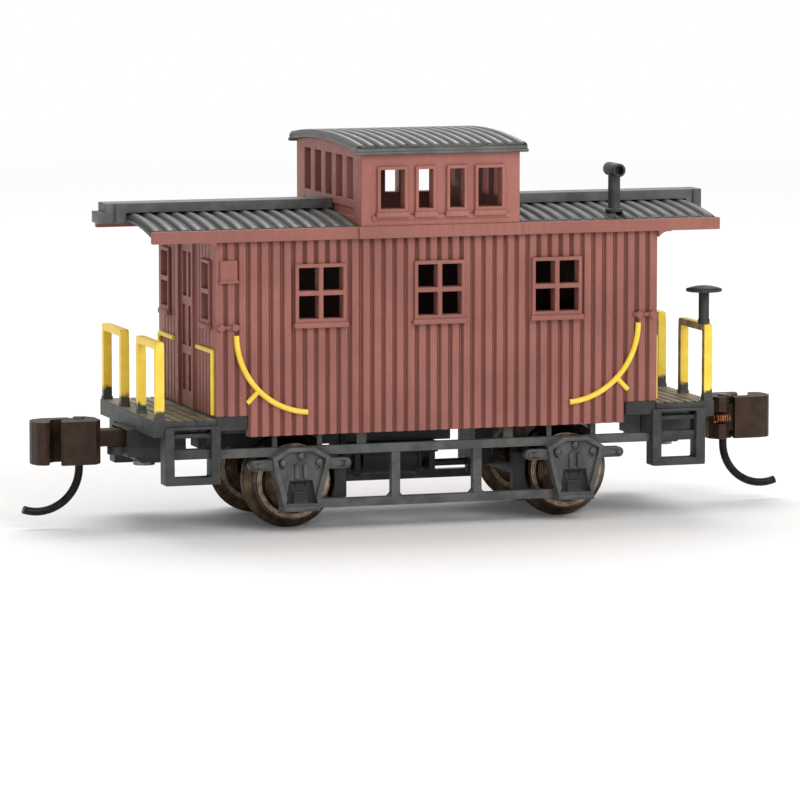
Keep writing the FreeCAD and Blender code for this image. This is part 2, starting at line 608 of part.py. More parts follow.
def side_frame():
    """The left side frame: top bar, lower bar, posts and two pedestals with bearings."""
    half = WHEELBASE / 2
    inner = FRAME_INNER_Y
    pieces = [box((-STEP_INNER_X, STEP_INNER_X), (inner, 6.70), (BAR_BOTTOM, BAR_TOP)),
              box((-half, half), (inner, 6.70), (0.98, 1.58))]
    for x in (-2.95, 2.95):
        pieces.append(box((x - 0.31, x + 0.31), (inner, 6.66), (1.3, BAR_BOTTOM + 0.1)))
        gusset = [(x - 0.55, inner, 1.58), (x + 0.55, inner, 1.58), (x, inner, 2.15)]
        pieces.append(prism(gusset, Vector(0, 0.45, 0)))
    for x in (-5.30, 5.30):
        pieces.append(box((x - 0.35, x + 0.35), (inner, 6.30), (BAR_TOP - 0.1, FLOOR_BOTTOM)))
    for x in (-half, half):
        pieces.append(spring_pedestal(x))
    frame = joined(pieces)
    bearing = axle_end(RUNNING_CLEARANCE)
    for x in (-half, half):
        frame = frame.cut(moved(bearing, x=x, z=TREAD_RADIUS))
    return frame


def brake_rigging():
    """Brake cylinder, levers and rods hung under the middle of the floor."""
    cylinder = rod(Vector(-3.6, 0, 3.55), Vector(0.4, 0, 3.55), 1.25)
    cap = rod(Vector(0.4, 0, 3.55), Vector(0.75, 0, 3.55), 1.40)
    carrier = box((-5.1, 1.7), (-1.9, 1.9), (3.9, BAR_BOTTOM))
    hanger = box((4.4, 5.6), (-1.9, 1.9), (2.9, FLOOR_BOTTOM))
    pieces = [cylinder, cap, carrier, hanger]
    for x, low in ((-4.9, 2.55), (-4.2, 2.35), (1.25, 2.45)):
        pieces.append(box((x - 0.22, x + 0.22), (-1.9, 1.9), (low, BAR_BOTTOM)))
    pieces.append(rod(Vector(-6.1, 0, 2.9), Vector(6.1, 0, 2.9), 0.25))
    return joined(pieces).cut(centre_sill())


def brake_beam():
    """The B end brake beam: a cross bar with a curved shoe facing each wheel's tread."""
    wheel_x = WHEELBASE / 2
    beam = box((6.05, 6.45), (-5.2, 5.2), (2.55, 3.20))
    pieces = [beam]
    for side in (-1, 1):
        y_range = sorted((side * 4.50, side * 5.25))
        shoe = box((6.05, 7.30), y_range, (1.45, 4.10))
        gap = rod(Vector(wheel_x, y_range[0], TREAD_RADIUS), Vector(wheel_x, y_range[1], TREAD_RADIUS),
                  TREAD_RADIUS + 0.22)
        pieces.append(shoe.cut(gap))
        pieces.append(box((6.10, 6.40), (side * 4.6, side * 5.0), (3.9, FLOOR_BOTTOM)))
    return joined(pieces)


def ballast_weight():
    """The steel weight on the floor inside the body."""
    plate = box((-12.0, 12.0), (-5.6, 5.6), (FLOOR_TOP, FLOOR_TOP + 2.2))
    return plate.makeChamfer(0.3, [edge for edge in plate.Edges if abs(edge.tangentAt(0).z) > 0.9])


# ---------------------------------------------------------------- handrails and hand brake

def railing_post_places():
    """Where the railing posts stand across the platform."""
    return [side * y for side in (-1, 1) for y in (RAILING_INNER_Y, RAILING_OUTER_Y)]


def railing_post(y, bottom, top):
    """One flat post of an end railing."""
    half = RAILING_POST / 2
    return box((RAILING_X, RAILING_X + RAILING_DEPTH), (y - half, y + half), (bottom, top))


def railing(side):
    """One hoop of the B end railing: two posts and a top rail."""
    half = RAILING_POST / 2
    foot = DECK_TOP + 0.05
    top_rail = box((RAILING_X, RAILING_X + RAILING_DEPTH),
                   (side * (RAILING_INNER_Y - half), side * (RAILING_OUTER_Y + half)),
                   (RAILING_TOP - 0.50, RAILING_TOP))
    posts = [railing_post(side * y, foot, RAILING_TOP) for y in (RAILING_INNER_Y, RAILING_OUTER_Y)]
    hoop = joined(posts + [top_rail])
    corners = [edge for edge in hoop.Edges
               if abs(edge.CenterOfMass.z - RAILING_TOP) < 0.01 and edge.BoundBox.YLength < 0.01]
    return hoop.makeFillet(0.25, corners)


def brake_staff():
    """The hand brake staff that stands on the right railing of the B end."""
    foot = Vector(BRAKE_STAFF_X, BRAKE_STAFF_Y, RAILING_TOP)
    top = Vector(BRAKE_STAFF_X, BRAKE_STAFF_Y, BRAKE_WHEEL_Z)
    collar = rod(foot, foot + Vector(0, 0, 0.3), 0.42)
    return joined([rod(foot, top, 0.37), collar])


def brake_wheel():
    """The domed brake wheel on top of the staff."""
    centre = Vector(BRAKE_STAFF_X, BRAKE_STAFF_Y, BRAKE_WHEEL_Z)
    rim = rod(centre, centre + Vector(0, 0, 0.20), BRAKE_WHEEL_RADIUS)
    dome_radius = 3.6
    dome = Part.makeSphere(dome_radius, centre + Vector(0, 0, 0.42 - dome_radius))
    dome = dome.common(rod(centre + Vector(0, 0, 0.1), centre + Vector(0, 0, 0.6), BRAKE_WHEEL_RADIUS))
    return joined([rim, dome])


def side_handrail():
    """The curved handrail at the B end of the left side, with its short strut."""
    y = BODY_HALF_WIDTH + 0.11
    start = Vector(CURVE_CENTRE_X + CURVE_RADIUS, y, CURVE_CENTRE_Z)
    section = Part.Face(Part.Wire(Part.makeCircle(HANDRAIL_RADIUS, start, Z_AXIS)))
    bend = section.revolve(Vector(CURVE_CENTRE_X, y, CURVE_CENTRE_Z), Y_AXIS, 86)
    diagonal = math.sqrt(0.5)
    near = CURVE_RADIUS * diagonal
    far = (CURVE_RADIUS + 1.15) * diagonal
    strut = rod(Vector(CURVE_CENTRE_X + near, y, CURVE_CENTRE_Z - near),
                Vector(CURVE_CENTRE_X + far, y, CURVE_CENTRE_Z - far), 0.17)
    rail = joined([bend, strut])
    return rail.cut(box((0, 20), (0, BODY_HALF_WIDTH), (0, 20)))


def end_handrail():
    """The handrail round the left corner of the B end wall: one level run and one upright."""
    x = BODY_HALF_LENGTH + 0.09
    top = 11.95
    corner = Vector(x, 6.65, top)
    radius = 0.16
    rail = joined([rod(Vector(x, 2.90, top), corner, radius),
                   rod(corner, Vector(x, 6.65, WALL_BOTTOM + 0.1), radius),
                   Part.makeSphere(radius, corner)])
    return rail.cut(box((0, BODY_HALF_LENGTH), (0, 9), (0, 20)))


def marker_bracket():
    """The level bracket with two bosses at the B end of the left side."""
    z = 13.60
    y = BODY_HALF_WIDTH + 0.07
    bar = rod(Vector(14.15, y, z), Vector(15.85, y, z), 0.16)
    bosses = [rod(Vector(x, 0, z), Vector(x, y + 0.18, z), 0.23) for x in (14.55, 15.55)]
    return joined([bar] + bosses).cut(box((0, 20), (0, BODY_HALF_WIDTH), (0, 20)))


def corner_plate():
    """The small plate high on the left side's B end corner."""
    plate = box((14.40, 15.60), (BODY_HALF_WIDTH, BODY_HALF_WIDTH + 0.14), (16.80, 18.15))
    cap = box((14.30, 15.70), (BODY_HALF_WIDTH, BODY_HALF_WIDTH + 0.22), (16.62, 16.80))
    return joined([plate, cap])


# ---------------------------------------------------------------- wheels

def axle_end(clearance):
    """The left end of an axle, a journal and a point, grown by a clearance."""
    radius = JOURNAL_RADIUS + clearance
    shoulder = 6.30
    tip = AXLE_POINT_Y + 2 * clearance
    return turned_about_y([(0, 5.0), (radius, 5.0), (radius, shoulder), (0, tip)])


def axle():
    """A pin-point axle across the car."""
    seat = WHEEL_BACK_Y + WHEEL_WIDTH + 0.10
    bar = rod(Vector(0, -seat, 0), Vector(0, seat, 0), AXLE_RADIUS)
    end = axle_end(0.0)
    return moved(joined([bar, end, other_side(end)]), z=TREAD_RADIUS)


def wheel():
    """The left wheel of a pair: flange, coned tread, dished face and hub."""
    back = WHEEL_BACK_Y
    face = back + WHEEL_WIDTH
    flange_radius = TREAD_RADIUS + FLANGE_DEPTH
    rim_inner = 2.15
    hub = 1.05
    profile = [(AXLE_RADIUS, back), (hub, back), (hub + 0.1, back + 0.45), (rim_inner, back + 0.45),
               (rim_inner + 0.1, back), (flange_radius - 0.22, back), (flange_radius, back + 0.16),
               (flange_radius, back + 0.30), (flange_radius - 0.25, back + FLANGE_WIDTH),
               (TREAD_RADIUS + 0.06, back + FLANGE_WIDTH + 0.10), (TREAD_RADIUS, face - 0.12),
               (TREAD_RADIUS - 0.12, face), (rim_inner + 0.12, face), (rim_inner, face - 0.45),
               (hub + 0.15, face - 0.30), (hub, face), (AXLE_RADIUS, face)]
    return moved(turned_about_y(profile), z=TREAD_RADIUS)


# ---------------------------------------------------------------- couplers

def coil(radius, wire, length, turns, start):
    """A coil spring along X from a start point."""
    helix = Part.makeHelix(length / turns, length, radius)
    section = Part.Wire(Part.makeCircle(wire, Vector(radius, 0, 0), Y_AXIS))
    spring = Part.Wire(helix).makePipeShell([section], True, True)
    spring.rotate(ORIGIN, Y_AXIS, 90)
    spring.translate(start)
    return spring


def coupler_head():
    """The B end coupler: tail with its pivot eye, shank, guard arm and the knuckle's seat."""
    low = COUPLER_Z - HEAD_HALF_HEIGHT
    high = COUPLER_Z + HEAD_HALF_HEIGHT
    shank_low = SHANK_Z - SHANK_HALF_HEIGHT
    shank_high = SHANK_Z + SHANK_HALF_HEIGHT
    outline = [(HEAD_BACK_X, -0.80), (HEAD_BACK_X, 0.80), (22.80, 1.50), (25.05, 1.50),
               (25.20, 1.30), (24.90, 0.30), (24.75, -0.10), (24.10, -0.20), (23.30, -0.20),
               (23.30, -1.50), (22.80, -1.50)]
    block = prism([(x, y, low) for x, y in outline], Vector(0, 0, high - low))
    cheek = rod(Vector(KNUCKLE_X, KNUCKLE_Y, low), Vector(KNUCKLE_X, KNUCKLE_Y, high), 0.62)
    head = joined([block, cheek])
    barrel_low = COUPLER_Z - 0.95
    barrel_high = COUPLER_Z + 0.95
    head = head.cut(rod(Vector(KNUCKLE_X, KNUCKLE_Y, barrel_low - RUNNING_CLEARANCE),
                        Vector(KNUCKLE_X, KNUCKLE_Y, barrel_high + RUNNING_CLEARANCE), 0.67))
    head = head.cut(box((22.55, 23.40), (-1.60, -1.00), (COUPLER_Z - 0.45, COUPLER_Z + 0.45)))
    head = head.cut(rod(Vector(KNUCKLE_X, KNUCKLE_Y, 0), Vector(KNUCKLE_X, KNUCKLE_Y, COUPLER_Z),
                        TRIP_PIN_RADIUS + RUNNING_CLEARANCE))
    head = head.cut(rod(Vector(KNUCKLE_X, KNUCKLE_Y, COUPLER_Z), Vector(KNUCKLE_X, KNUCKLE_Y, 9), 0.22))
    shank = box((SWING_X, HEAD_BACK_X + 0.1), (-SHANK_HALF_WIDTH, SHANK_HALF_WIDTH),
                (shank_low, shank_high))
    eye = rod(Vector(SWING_X, 0, shank_low), Vector(SWING_X, 0, shank_high), 1.00)
    coupler = joined([head, shank, eye])
    return coupler.cut(rod(Vector(SWING_X, 0, shank_low), Vector(SWING_X, 0, shank_high),
                           0.50 + RUNNING_CLEARANCE))


def knuckle():
    """The B end knuckle: barrel on its pin, arm and hooked finger."""
    low = COUPLER_Z - HEAD_HALF_HEIGHT + 0.03
    high = COUPLER_Z + HEAD_HALF_HEIGHT - 0.03
    barrel_low = COUPLER_Z - 0.95
    barrel_high = COUPLER_Z + 0.95
    outline = [(24.00, -1.55), (25.90, -1.55), (26.60, -1.25), (26.95, -0.60),
               (KNUCKLE_FRONT_X, 0.20), (26.80, 0.95), (26.30, 1.25), (25.95, 1.05),
               (25.75, 0.30), (25.55, -0.30), (25.20, -0.55), (24.30, -0.55), (24.00, -0.95)]
    arm = prism([(x, y, low) for x, y in outline], Vector(0, 0, high - low))
    edges = [edge for edge in arm.Edges if abs(edge.tangentAt(edge.FirstParameter).z) > 0.9
             and edge.CenterOfMass.x > 25.8]
    arm = arm.makeFillet(0.12, edges)
    swept = rod(Vector(KNUCKLE_X, KNUCKLE_Y, 0), Vector(KNUCKLE_X, KNUCKLE_Y, 9), 0.72)
    arm = arm.cut(swept)
    barrel = rod(Vector(KNUCKLE_X, KNUCKLE_Y, barrel_low), Vector(KNUCKLE_X, KNUCKLE_Y, barrel_high), 0.60)
    neck = prism([(23.50, -0.95, barrel_low), (24.35, -1.20, barrel_low), (24.45, -0.57, barrel_low),
                  (23.60, -0.45, barrel_low)], Vector(0, 0, barrel_high - barrel_low))
    shape = joined([arm, neck, barrel])
    shape = shape.cut(rod(Vector(KNUCKLE_X, KNUCKLE_Y, COUPLER_Z - 0.30),
                          Vector(KNUCKLE_X, KNUCKLE_Y, 9), 0.22 + RUNNING_CLEARANCE))
    return shape.cut(rod(Vector(KNUCKLE_X, KNUCKLE_Y, 0),
                         Vector(KNUCKLE_X, KNUCKLE_Y, COUPLER_Z - 0.30), TRIP_PIN_RADIUS))


def knuckle_pin():
    """The rivet that the B end knuckle turns on."""
    low = Vector(KNUCKLE_X, KNUCKLE_Y, COUPLER_Z - 0.25)
    high = Vector(KNUCKLE_X, KNUCKLE_Y, COUPLER_Z + HEAD_HALF_HEIGHT)
    return joined([rod(low, high, 0.22), rod(high, high + Vector(0, 0, 0.12), 0.38)])


def trip_pin():
    """The curved wire under the B end knuckle, pressed into its barrel."""
    top = Vector(KNUCKLE_X, KNUCKLE_Y, COUPLER_Z - 0.30)
    bend_start = Vector(KNUCKLE_X, KNUCKLE_Y, 3.52)
    upright = rod(bend_start, top, TRIP_PIN_RADIUS)
    section = Part.Face(Part.Wire(Part.makeCircle(TRIP_PIN_RADIUS, bend_start, Z_AXIS)))
    bend_centre = Vector(KNUCKLE_X + TRIP_BEND_RADIUS, KNUCKLE_Y, bend_start.z)
    bend = section.revolve(bend_centre, Y_AXIS, -110)
    return joined([upright, bend])


# ---------------------------------------------------------------- all pieces

def save_body():
    """Write the body shell and everything moulded on it."""
    frames = side_window_frames()
    ends = end_window_frames()
    save("body_shell", body_shell())
    save("window_frames_left", *frames)
    save("window_frames_right", *[other_side(frame) for frame in frames])
    save("end_window_frames", *ends, *[mirror_end(frame) for frame in ends])
    save("end_door_b", end_door())
    save("end_door_a", other_end(end_door()))
    bracket = marker_bracket()
    save("marker_brackets", bracket, other_side(bracket), mirror_end(bracket), other_end(bracket))
    save("corner_plates", corner_plate(), other_end(corner_plate()))


def save_roof():
    """Write the roof, the roof walks, the smoke jack and the cupola."""
    save("roof_b", roof_half())
    save("roof_a", mirror_end(roof_half()))
    save("running_board_b", running_board(BOARD_B_END_X))
    save("running_board_a", mirror_end(running_board(BOARD_A_END_X, BOARD_LUG)))
    save("smoke_jack", smoke_jack())
    save("cupola_shell", cupola_shell())
    save("cupola_frames", cupola_window_frames(), other_side(cupola_window_frames()))
    save("cupola_roof", cupola_roof())


def save_underframe():
    """Write the underframe, side frames, platforms, steps and brake gear."""
    save("underframe", underframe())
    save("side_frame_left", side_frame())
    save("side_frame_right", other_side(side_frame()))
    save("platform_b", platform())
    save("platform_a", mirror_end(platform()))
    save("step_b_left", step())
    save("step_b_right", other_side(step()))
    save("step_a_left", mirror_end(step()))
    save("step_a_right", other_end(step()))
    save("brake_rigging", brake_rigging())
    save("brake_beam_b", brake_beam())
    save("brake_beam_a", mirror_end(brake_beam()))
    save("ballast_weight", ballast_weight())
    save("coupler_lid_b", coupler_lid())
    save("coupler_lid_a", other_end(coupler_lid()))
    save("coupler_screws", coupler_screw(), other_end(coupler_screw()))


def save_handrails():
    """Write the railings, handrails and the hand brake."""
    for name, side in (("left", 1), ("right", -1)):
        save(f"railing_b_{name}", railing(side))
        save(f"railing_a_{name}", mirror_end(railing(side)))
    curved = side_handrail()
    save("side_handrails_left", curved, mirror_end(curved))
    save("side_handrails_right", other_side(curved), other_end(curved))
    corner = end_handrail()
    save("end_handrails_b", corner, other_side(corner))
    save("end_handrails_a", mirror_end(corner), other_end(corner))
    save("brake_staff", brake_staff())
    save("brake_wheel", brake_wheel())


def save_wheelsets():
    """Write both axles and their four wheels."""
    for name, x in (("a", -WHEELBASE / 2), ("b", WHEELBASE / 2)):
        save(f"axle_{name}", moved(axle(), x=x))
        save(f"wheel_{name}_left", moved(wheel(), x=x))
        save(f"wheel_{name}_right", moved(other_side(wheel()), x=x))


def save_couplers():
    """Write both couplers; the A end one is the B end one turned half way round."""
    knuckle_spring = coil(0.26, 0.08, 1.05, 6, Vector(22.58, -1.29, COUPLER_Z))
    centring_spring = coil(0.34, 0.09, 0.85, 5, Vector(17.05, 0, SHANK_Z))
    save("centring_springs", centring_spring, other_end(centring_spring))
    pieces = {"coupler_head": coupler_head(), "knuckle": knuckle(), "knuckle_pin": knuckle_pin(),
              "knuckle_spring": knuckle_spring, "trip_pin": trip_pin()}
    for name, shape in pieces.items():
        save(f"{name}_b", shape)
        save(f"{name}_a", other_end(shape))


os.makedirs("parts", exist_ok=True)
save_body()
save_roof()
save_underframe()
save_handrails()
save_wheelsets()
save_couplers()
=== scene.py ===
"""Looks for the N scale four-wheel caboose: finishes, softened edges and the studio.

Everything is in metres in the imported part's own frame: +X towards the B end, the end with the
brake wheel, and +Z up.  Node materials measure their patterns in millimetres.
"""

import math

import bmesh
import bpy
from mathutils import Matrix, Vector

MM = 0.001

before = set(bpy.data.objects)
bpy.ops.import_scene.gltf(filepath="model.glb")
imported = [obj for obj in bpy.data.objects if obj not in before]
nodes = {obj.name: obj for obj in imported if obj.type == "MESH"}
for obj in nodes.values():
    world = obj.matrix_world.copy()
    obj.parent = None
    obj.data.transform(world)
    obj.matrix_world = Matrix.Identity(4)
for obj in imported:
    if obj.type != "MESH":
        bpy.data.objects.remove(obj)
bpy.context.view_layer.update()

# Places on the car that the finishes depend on, in mm.
ROOM_HALF_LENGTH = 15.12
ROOM_HALF_WIDTH = 6.40
ROOM_TOP_Z = 20.3
SIDE_BAR_CLEAR_Y = 6.78
PEDESTAL_PANEL_Y = 7.12
POST_PAINT_END_Z = 8.75
AXLE_X = {"a": -9.9, "b": 9.9}
WHEEL_AXIS_Z = 3.35
RIM_INNER_RADIUS = 2.16
RIM_OUTER_RADIUS = 2.62
FLOOR_FADE = (90.0, 420.0)


# ---------------------------------------------------------------- node materials

def tinted(colour, tone):
    """A colour made lighter or darker by a factor."""
    return tuple(tone * channel for channel in colour)


class Finish:
    """One procedural material on a Principled shader, with short names for the nodes it is made of."""

    def __init__(self, name, metallic=0.0, specular=0.5):
        self.material = bpy.data.materials.new(name)
        self.material.use_nodes = True
        self.tree = self.material.node_tree
        self.shader = self.tree.nodes["Principled BSDF"]
        self.shader.inputs["Metallic"].default_value = metallic
        self.shader.inputs["Specular IOR Level"].default_value = specular
        place = self.node("ShaderNodeTexCoord").outputs["Object"]
        self.place = self.vector("SCALE", place, scale=1.0 / MM)
        split = self.node("ShaderNodeSeparateXYZ")
        self.set(split.inputs[0], self.place)
        self.x, self.y, self.z = split.outputs
        normal = self.node("ShaderNodeNewGeometry").outputs["Normal"]
        facing = self.node("ShaderNodeSeparateXYZ")
        to_object = self.node("ShaderNodeVectorTransform", vector_type="NORMAL", convert_from="WORLD",
                              convert_to="OBJECT")
        self.set(to_object.inputs[0], normal)
        self.set(facing.inputs[0], to_object.outputs[0])
        self.normal = normal
        self.facing_x, self.facing_y, self.facing_z = facing.outputs

    def node(self, kind, **settings):
        """A new node with its own settings."""
        node = self.tree.nodes.new(kind)
        for key, value in settings.items():
            setattr(node, key, value)
        return node

    def set(self, socket, value):
        """Link an output to a socket, or set a plain value on it."""
        if isinstance(value, bpy.types.NodeSocket):
            self.tree.links.new(value, socket)
        elif isinstance(value, tuple) and len(value) == 3 and socket.type == "RGBA":
            socket.default_value = (*value, 1.0)
        else:
            socket.default_value = value

    def vector(self, operation, first, second=None, scale=None):
        """Vector arithmetic."""
        node = self.node("ShaderNodeVectorMath", operation=operation)
        self.set(node.inputs[0], first)
        if second is not None:
            self.set(node.inputs[1], second)
        if scale is not None:
            self.set(node.inputs["Scale"], scale)
        return node.outputs["Value" if operation == "DOT_PRODUCT" else "Vector"]

    def math(self, operation, first, second=0.0):
        """Arithmetic on two numbers."""
        node = self.node("ShaderNodeMath", operation=operation)
        self.set(node.inputs[0], first)
        self.set(node.inputs[1], second)
        return node.outputs[0]

    def remap(self, value, low, high, to_low=0.0, to_high=1.0):
        """A smooth step of a number from one range to another, clamped."""
        node = self.node("ShaderNodeMapRange", interpolation_type="SMOOTHSTEP")
        for socket, number in zip(node.inputs, (value, low, high, to_low, to_high)):
            self.set(socket, number)
        return node.outputs[0]

    def noise(self, size, detail=3.0, stretch=(1.0, 1.0, 1.0)):
        """Cloudy noise whose features are about size mm across, times the stretch."""
        scaled = self.vector("MULTIPLY", self.place, tuple(1.0 / (size * s) for s in stretch))
        node = self.node("ShaderNodeTexNoise", noise_dimensions="3D")
        for key, value in (("Vector", scaled), ("Scale", 1.0), ("Detail", detail), ("Roughness", 0.55)):
            self.set(node.inputs[key], value)
        return node.outputs[0]

    def mix(self, factor, first, second):
        """A blend of two colours."""
        node = self.node("ShaderNodeMix", data_type="RGBA")
        self.set(node.inputs[0], factor)
        self.set(node.inputs[6], first)
        self.set(node.inputs[7], second)
        return node.outputs[2]

    def edges(self, radius, low=0.02, high=0.35):
        """1 along edges within a radius in mm, where handling wears a finish."""
        bevel = self.node("ShaderNodeBevel", samples=4)
        self.set(bevel.inputs["Radius"], radius * MM)
        alike = self.vector("DOT_PRODUCT", bevel.outputs[0], self.normal)
        return self.remap(self.math("SUBTRACT", 1.0, alike), low, high)

    def cavity_shade(self, distance, low=0.25, high=0.95):
        """1 in grooves and corners within a distance in mm, where the colour is darkened as painted
        shade.
        """
        occlusion = self.node("ShaderNodeAmbientOcclusion", samples=6, only_local=True)
        self.set(occlusion.inputs["Distance"], distance * MM)
        return self.remap(occlusion.outputs["AO"], low, high, 1.0, 0.0)

    def bump(self, height, depth):
        """A bump of a depth in mm."""
        node = self.node("ShaderNodeBump")
        self.set(node.inputs["Strength"], 1.0)
        self.set(node.inputs["Distance"], depth * MM)
        self.set(node.inputs["Height"], height)
        return node.outputs[0]

    def done(self, colour, roughness, normal):
        """Connect the finished colour, roughness and bump."""
        self.set(self.shader.inputs["Base Color"], colour)
        self.set(self.shader.inputs["Roughness"], roughness)
        self.set(self.shader.inputs["Normal"], normal)
        return self.material


def body_paint(name="oxide_red_paint", tone=1.0):
    """Oxide red paint: painted shade in grooves, on the sides of grooves and in the unlit room, rubbed
    paler on edges.
    """
    f = Finish(name, specular=0.40)
    clouds = f.noise(6.0, detail=2.0)
    grain = f.noise(0.16, detail=4.0)
    streaks = f.noise(0.22, detail=3.0, stretch=(1.0, 1.0, 9.0))
    colour = f.mix(f.remap(clouds, 0.35, 0.65), tinted((0.285, 0.104, 0.083), tone),
                   tinted((0.345, 0.128, 0.102), tone))
    colour = f.mix(f.remap(streaks, 0.35, 0.72, 0.0, 0.35), colour, tinted((0.225, 0.080, 0.066), tone))
    colour = f.mix(f.remap(grain, 0.42, 0.75, 0.0, 0.22), colour, tinted((0.44, 0.190, 0.155), tone))
    # Painted shade on faces turned part way between the side and the end, such as the sides of grooves.
    flank_shade = f.math("MULTIPLY", f.remap(f.math("ABSOLUTE", f.facing_x), 0.35, 0.70),
                   f.remap(f.math("ABSOLUTE", f.facing_y), 0.35, 0.60))
    colour = f.mix(f.math("MULTIPLY", flank_shade, 0.60), colour, tinted((0.130, 0.036, 0.030), tone))
    # Painted shade in grooves and corners.
    colour = f.mix(f.math("MULTIPLY", f.cavity_shade(0.45), 0.80), colour, (0.095, 0.026, 0.021))
    worn = f.math("MULTIPLY", f.edges(0.07), f.remap(f.noise(0.9, detail=3.0), 0.30, 0.62, 0.15, 0.60))
    colour = f.mix(worn, colour, tinted((0.52, 0.250, 0.205), tone))
    # Painted shade: faces within the room are coloured almost black.
    inside_x = f.math("LESS_THAN", f.math("ABSOLUTE", f.x), ROOM_HALF_LENGTH)
    inside_y = f.math("LESS_THAN", f.math("ABSOLUTE", f.y), ROOM_HALF_WIDTH)
    inside_z = f.math("LESS_THAN", f.z, ROOM_TOP_Z)
    inside = f.math("MULTIPLY", f.math("MULTIPLY", inside_x, inside_y), inside_z)
    colour = f.mix(f.math("MULTIPLY", inside, 0.9), colour, (0.016, 0.007, 0.006))
    roughness = f.remap(f.noise(0.5, detail=4.0), 0.3, 0.7, 0.44, 0.62)
    relief = f.math("ADD", f.math("MULTIPLY", streaks, 0.6), f.math("MULTIPLY", grain, 0.4))
    return f.done(colour, roughness, f.bump(relief, 0.022))


def roof_paint(name="charcoal_roof", tone=1.0, highlight_strength=1.0, valley_shade=0.92):
    """Charcoal roof: painted shade between the ribs and a painted highlight along the ribs' crests."""
    f = Finish(name, specular=0.55)
    grain = f.noise(0.12, detail=4.0)
    patches = f.noise(1.7, detail=3.0)
    colour = f.mix(f.remap(patches, 0.35, 0.65), tinted((0.030, 0.032, 0.031), tone),
                   tinted((0.052, 0.054, 0.051), tone))
    slope = f.math("ABSOLUTE", f.facing_x)
    # Painted shade on the sloping sides of the ribs, applied further down.
    valley = f.math("MULTIPLY", f.remap(slope, 0.18, 0.52), f.remap(f.facing_z, 0.45, 0.70))
    # Painted shade in grooves and corners, and on faces turned towards the car's ends.
    colour = f.mix(f.math("MULTIPLY", f.cavity_shade(0.45), 0.85), colour, (0.007, 0.007, 0.007))
    colour = f.mix(f.remap(slope, 0.90, 0.98, 0.0, 0.65), colour, (0.012, 0.013, 0.012))
    # Painted highlight: the up-facing crests of the ribs are made paler in patches.
    crest = f.math("MULTIPLY", f.remap(slope, 0.08, 0.36, 1.0, 0.0), f.remap(f.facing_z, 0.70, 0.90))
    crest_highlight = f.math("MULTIPLY", crest, f.remap(f.noise(0.45, detail=4.0, stretch=(1.0, 2.5, 1.0)),
                                             0.32, 0.68, 0.45, 0.95))
    colour = f.mix(f.math("MULTIPLY", crest_highlight, min(1.0, highlight_strength)), colour,
                   tinted((0.190, 0.192, 0.182), max(1.0, highlight_strength)))
    worn = f.math("MULTIPLY", f.edges(0.08), f.remap(f.noise(0.7), 0.30, 0.60, 0.25, 0.70))
    colour = f.mix(worn, colour, (0.200, 0.200, 0.190))
    colour = f.mix(f.remap(grain, 0.5, 0.8, 0.0, 0.25), colour, (0.11, 0.11, 0.105))
    # Painted shade on the sloping sides of the ribs.
    colour = f.mix(f.math("MULTIPLY", valley, valley_shade), colour, (0.006, 0.007, 0.006))
    roughness = f.math("ADD", f.remap(patches, 0.3, 0.7, 0.32, 0.46), f.math("MULTIPLY", valley, 0.3))
    return f.done(colour, roughness, f.bump(grain, 0.020))


def frame_plastic(name="slate_plastic", tone=1.0, wear=1.0, top=(0.125, 0.127, 0.124),
                  hollow_behind=0.0):
    """Slate-black moulded plastic: fine texture, painted shade in corners and edges rubbed grey.

    Faces turned to the side between the side bars and hollow_behind, in mm, are the backs of hollows,
    darkened as painted shade.
    """
    f = Finish(name, specular=0.45)
    grain = f.noise(0.10, detail=4.0)
    patches = f.noise(1.2, detail=3.0)
    colour = f.mix(f.remap(patches, 0.35, 0.65), tinted((0.026, 0.027, 0.027), tone),
                   tinted((0.046, 0.048, 0.047), tone))
    # Painted shade in corners.
    colour = f.mix(f.math("MULTIPLY", f.cavity_shade(0.6), 0.88), colour, tinted((0.006, 0.006, 0.006), tone))
    worn = f.math("MULTIPLY", f.edges(0.09), f.remap(f.noise(0.6), 0.28, 0.62, 0.25 * wear, 0.85 * wear))
    colour = f.mix(worn, colour, (0.180, 0.184, 0.180))
    rubbed = f.math("MULTIPLY", f.remap(f.facing_z, 0.75, 0.98),
                    f.remap(patches, 0.3, 0.6, 0.25 * wear, 0.80 * wear))
    colour = f.mix(rubbed, colour, top)
    # Painted shade at the backs of the hollows.
    if hollow_behind:
        across = f.math("ABSOLUTE", f.y)
        behind = f.math("MULTIPLY", f.remap(across, hollow_behind - 0.04, hollow_behind, 1.0, 0.0),
                        f.math("GREATER_THAN", across, SIDE_BAR_CLEAR_Y))
        hollow_shade = f.math("MULTIPLY", behind, f.remap(f.math("ABSOLUTE", f.facing_y), 0.6, 0.8))
        colour = f.mix(f.math("MULTIPLY", hollow_shade, 0.95), colour, (0.003, 0.003, 0.003))
    roughness = f.remap(grain, 0.3, 0.7, 0.42, 0.60)
    return f.done(colour, roughness, f.bump(grain, 0.018))


